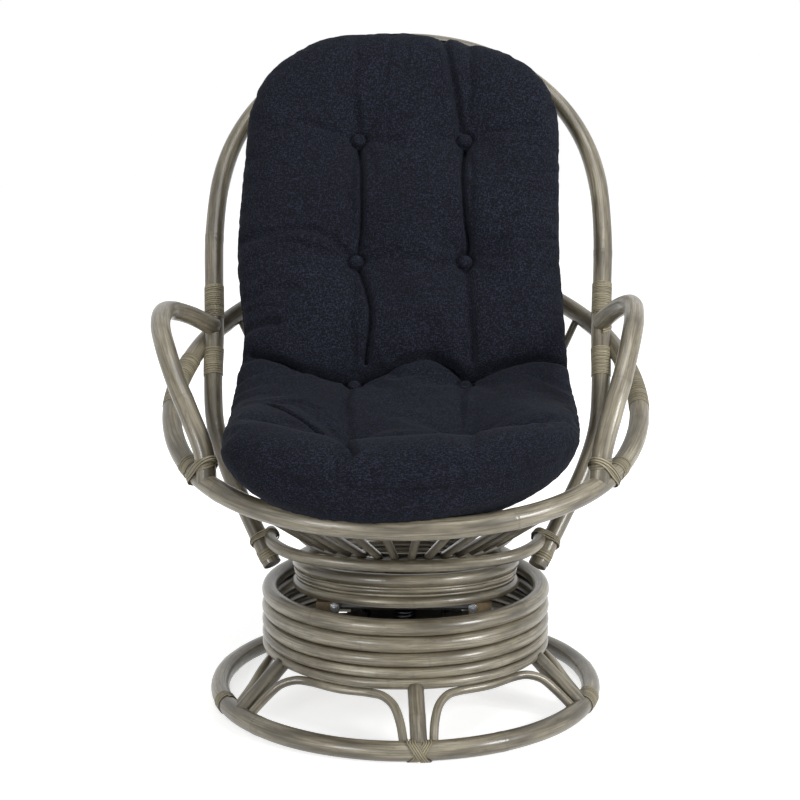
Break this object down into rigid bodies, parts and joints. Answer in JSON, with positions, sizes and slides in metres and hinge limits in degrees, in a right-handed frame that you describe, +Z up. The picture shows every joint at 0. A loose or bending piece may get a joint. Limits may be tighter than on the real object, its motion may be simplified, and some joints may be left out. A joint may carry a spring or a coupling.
{
  "type": "swivel rocking armchair",
  "caption": "Rattan swivel rocker with a bowl seat in a round rim, a tall hoop back, bent arms, a drum base on a floor ring and a long tufted cushion.",
  "frame": {"origin": "on the floor, at the centre of the chair's footprint", "axes": "+Z up, the sitter looks along -Y, +X to the sitter's left"},
  "size_m": [0.7658, 0.7654, 1.0374],
  "materials": {
    "rattan": "satin",
    "cane": "satin",
    "plain_wood": "matte",
    "black_steel": "satin",
    "spring_steel": "satin",
    "bearing_steel": "polished",
    "linen": "matte"
  },
  "bodies": {
    "base": {"floor_ring": "rattan", "drum_ring_5": "rattan", "drum_ring_4": "rattan", "drum_ring_3": "rattan", "drum_ring_2": "rattan", "drum_ring_1": "rattan", "front_leg": "rattan", "right_leg": "rattan", "back_right_leg": "rattan", "back_left_leg": "rattan", "left_leg": "rattan", "front_arch": "rattan", "right_arch": "rattan", "back_right_arch": "rattan", "back_left_arch": "rattan", "left_arch": "rattan", "front_ring_binding": "cane", "right_ring_binding": "cane", "left_ring_binding": "cane", "mechanism_board": "plain_wood", "swivel_base_plate": "black_steel"},
    "swivel": {"bearing_race": "bearing_steel", "swivel_plate": "black_steel", "rocker_bracket": "black_steel", "rock_axle": "bearing_steel", "front_spring": "spring_steel", "rear_spring": "spring_steel"},
    "seat": {"rocker_top_plate": "black_steel", "left_rail": "plain_wood", "right_rail": "plain_wood", "stack_ring_4": "rattan", "stack_ring_3": "rattan", "stack_ring_2": "rattan", "stack_ring_1": "rattan", "front_rim": "rattan", "rear_rim": "rattan", "left_rim_binding": "cane", "right_rim_binding": "cane", "back_hoop": "rattan", "left_upper_post_binding": "cane", "left_lower_post_binding": "cane", "left_foot_binding": "cane", "right_upper_post_binding": "cane", "right_lower_post_binding": "cane", "right_foot_binding": "cane", "left_arm": "rattan", "left_arm_binding": "cane", "right_arm": "rattan", "right_arm_binding": "cane", "lower_hoop": "rattan", "seat_basket": "rattan", "left_back_spindle": "rattan", "middle_back_spindle": "rattan", "right_back_spindle": "rattan", "cushion": "linen", "lower_left_button": "linen", "middle_left_button": "linen", "upper_left_button": "linen", "middle_right_button": "linen", "upper_right_button": "linen"}
  },
  "joints": [
    {"name": "swivel_turn", "type": "hinge", "parent": "base", "child": "swivel", "pos_m": [0.00736, -0.03057, 0.105], "axis": [0, 0, 1], "continuous": true},
    {"name": "seat_rock", "type": "hinge", "parent": "swivel", "child": "seat", "pos_m": [0.00736, -0.03057, 0.138], "axis": [-1, 0, 0], "range_deg": [-12, 10], "stiffness_Nm_per_rad": 320, "deforming": ["front_spring", "rear_spring"]}
  ]
}
